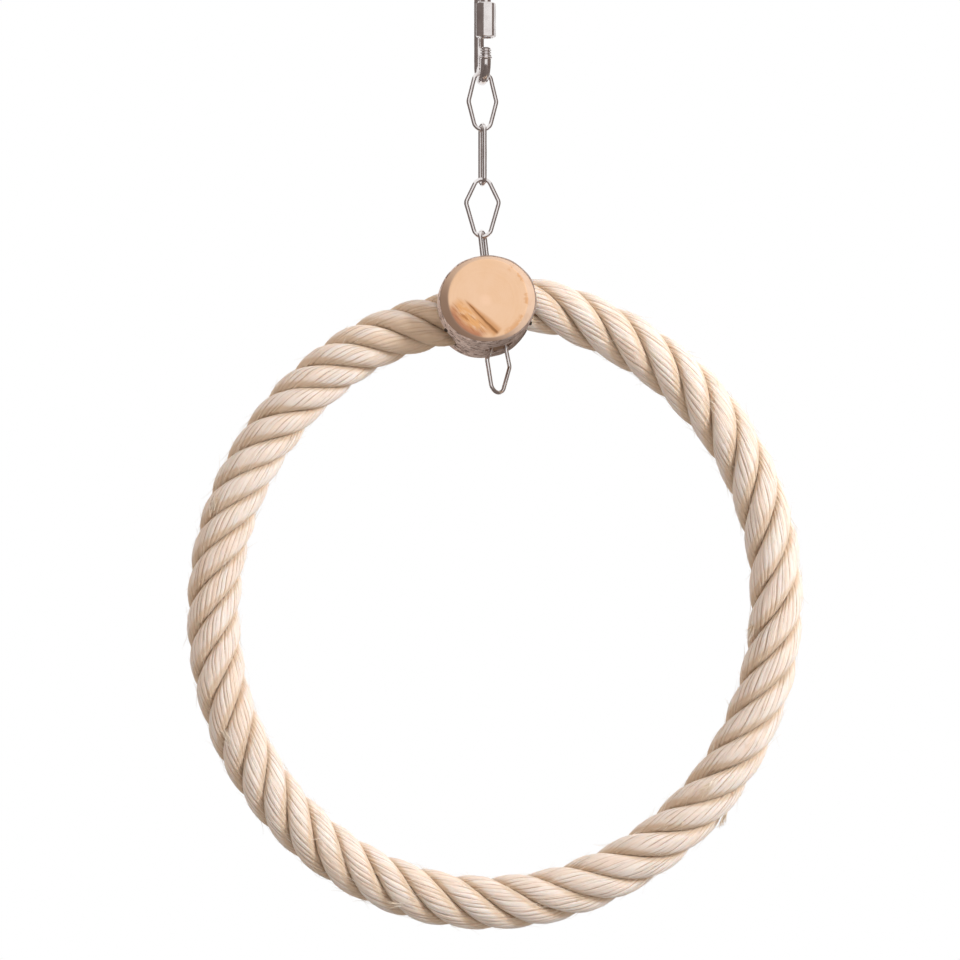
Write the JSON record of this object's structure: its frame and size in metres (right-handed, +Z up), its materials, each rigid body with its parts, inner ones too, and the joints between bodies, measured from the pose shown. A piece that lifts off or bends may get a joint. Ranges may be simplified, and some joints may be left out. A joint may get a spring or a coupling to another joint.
{
  "type": "hanging rope ring bird toy",
  "caption": "Hanging bird perch: a ring of thick laid sisal rope let into a short bark-covered log, on a steel link chain with an opening quick link.",
  "frame": {"origin": "where a hook bears on the inside of the quick link's upper bend", "axes": "+Z up, against the way it hangs; +X to the right across the ring; +Y away from the front, through the ring"},
  "size_m": [0.3007, 0.0495, 0.4651],
  "materials": {
    "steel": "polished stainless",
    "wood": "sanded end grain, unvarnished",
    "bark": "natural bark",
    "sisal": "undyed laid fibre"
  },
  "bodies": {
    "quick_link": {"quick_link_body": "steel"},
    "nut": {"quick_link_nut": "steel"},
    "link_1": {"chain_link_1": "steel"},
    "link_2": {"chain_link_2": "steel"},
    "link_3": {"chain_link_3": "steel"},
    "link_4": {"chain_link_4": "steel"},
    "link_5": {"chain_link_5": "steel"},
    "link_6": {"chain_link_6": "steel"},
    "ring": {"wood_block": "wood", "block_bark": "bark", "rope_strand_1": "sisal", "rope_strand_2": "sisal", "rope_strand_3": "sisal", "rope_strand_4": "sisal", "rope_heart": "sisal", "rope_nail_left": "steel", "rope_nail_right": "steel"}
  },
  "joints": [
    {"name": "nut_slide", "type": "slide", "parent": "quick_link", "child": "nut", "axis": [0, 0, 1], "range_m": [-0.009, 0]},
    {"name": "link_1_swing", "type": "hinge", "parent": "quick_link", "child": "link_1", "pos_m": [0, 0, -0.04455], "axis": [0.1994, -0.9799, 0], "range_deg": [-60, 60]},
    {"name": "link_2_swing", "type": "hinge", "parent": "link_1", "child": "link_2", "pos_m": [0, 0, -0.06872], "axis": [0.9799, 0.1994, 0], "range_deg": [-60, 60]},
    {"name": "link_3_swing", "type": "hinge", "parent": "link_2", "child": "link_3", "pos_m": [0, 0, -0.09548], "axis": [-0.3256, 0.9455, 0], "range_deg": [-45, 45]},
    {"name": "link_4_swing", "type": "hinge", "parent": "link_3", "child": "link_4", "pos_m": [0, 0, -0.12108], "axis": [1, 0, 0], "range_deg": [-50, 50]},
    {"name": "link_5_swing", "type": "hinge", "parent": "link_4", "child": "link_5", "pos_m": [0.00304, -0.0035, -0.14742], "axis": [0.3579, 0.9301, -0.0824], "range_deg": [-10, 10]},
    {"name": "link_6_twist", "type": "hinge", "parent": "link_5", "child": "link_6", "pos_m": [0.0082, -0.00682, -0.17346], "axis": [-0.0946, 0.1325, 0.9866], "range_deg": [-10, 48]},
    {"name": "ring_spin", "type": "hinge", "parent": "link_6", "child": "ring", "pos_m": [0.00598, -0.00506, -0.1557], "axis": [-0.0946, 0.1325, 0.9866], "continuous": true}
  ]
}
